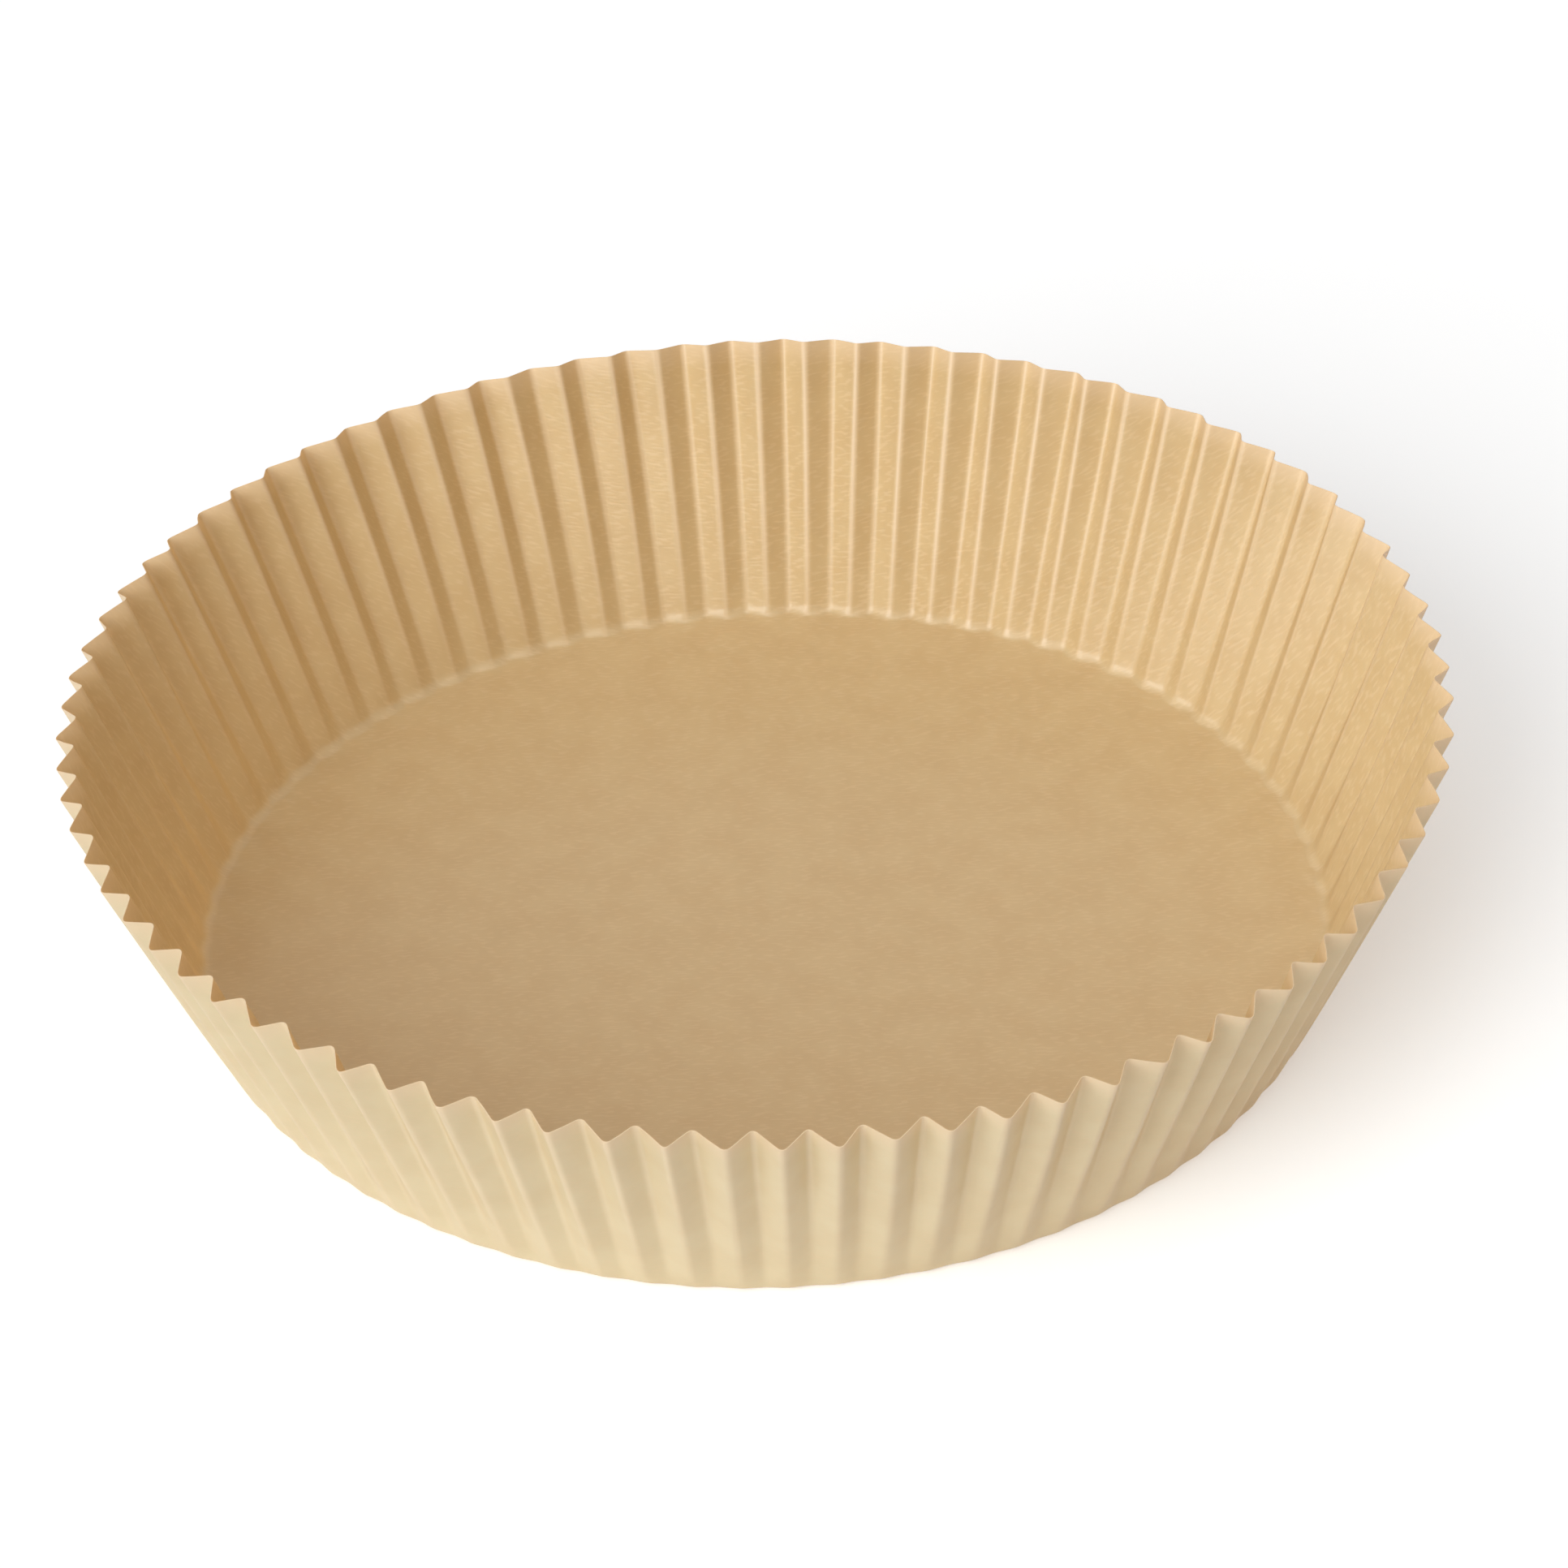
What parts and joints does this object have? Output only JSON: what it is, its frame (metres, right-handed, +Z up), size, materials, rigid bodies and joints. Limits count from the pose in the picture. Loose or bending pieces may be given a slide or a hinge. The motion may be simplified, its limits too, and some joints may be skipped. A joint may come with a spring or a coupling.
{
  "type": "air fryer paper liner",
  "caption": "Round shallow paper tray pressed from one flat disc, with a flat floor, a flared pleated wall and a zigzag rim, to line an air fryer basket.",
  "frame": {"origin": "middle of the floor's underside, on the surface that the liner rests on", "axes": "+Z up along the liner's own axis, an outer fold on each of +X, -X, +Y and -Y, and the picture's near side towards -Y"},
  "size_m": [0.2, 0.2, 0.0405],
  "materials": {
    "paper": "unbleached greaseproof paper, fine fibres, faint waxy sheen"
  },
  "bodies": {
    "root": {"liner": "paper"}
  },
  "joints": []
}
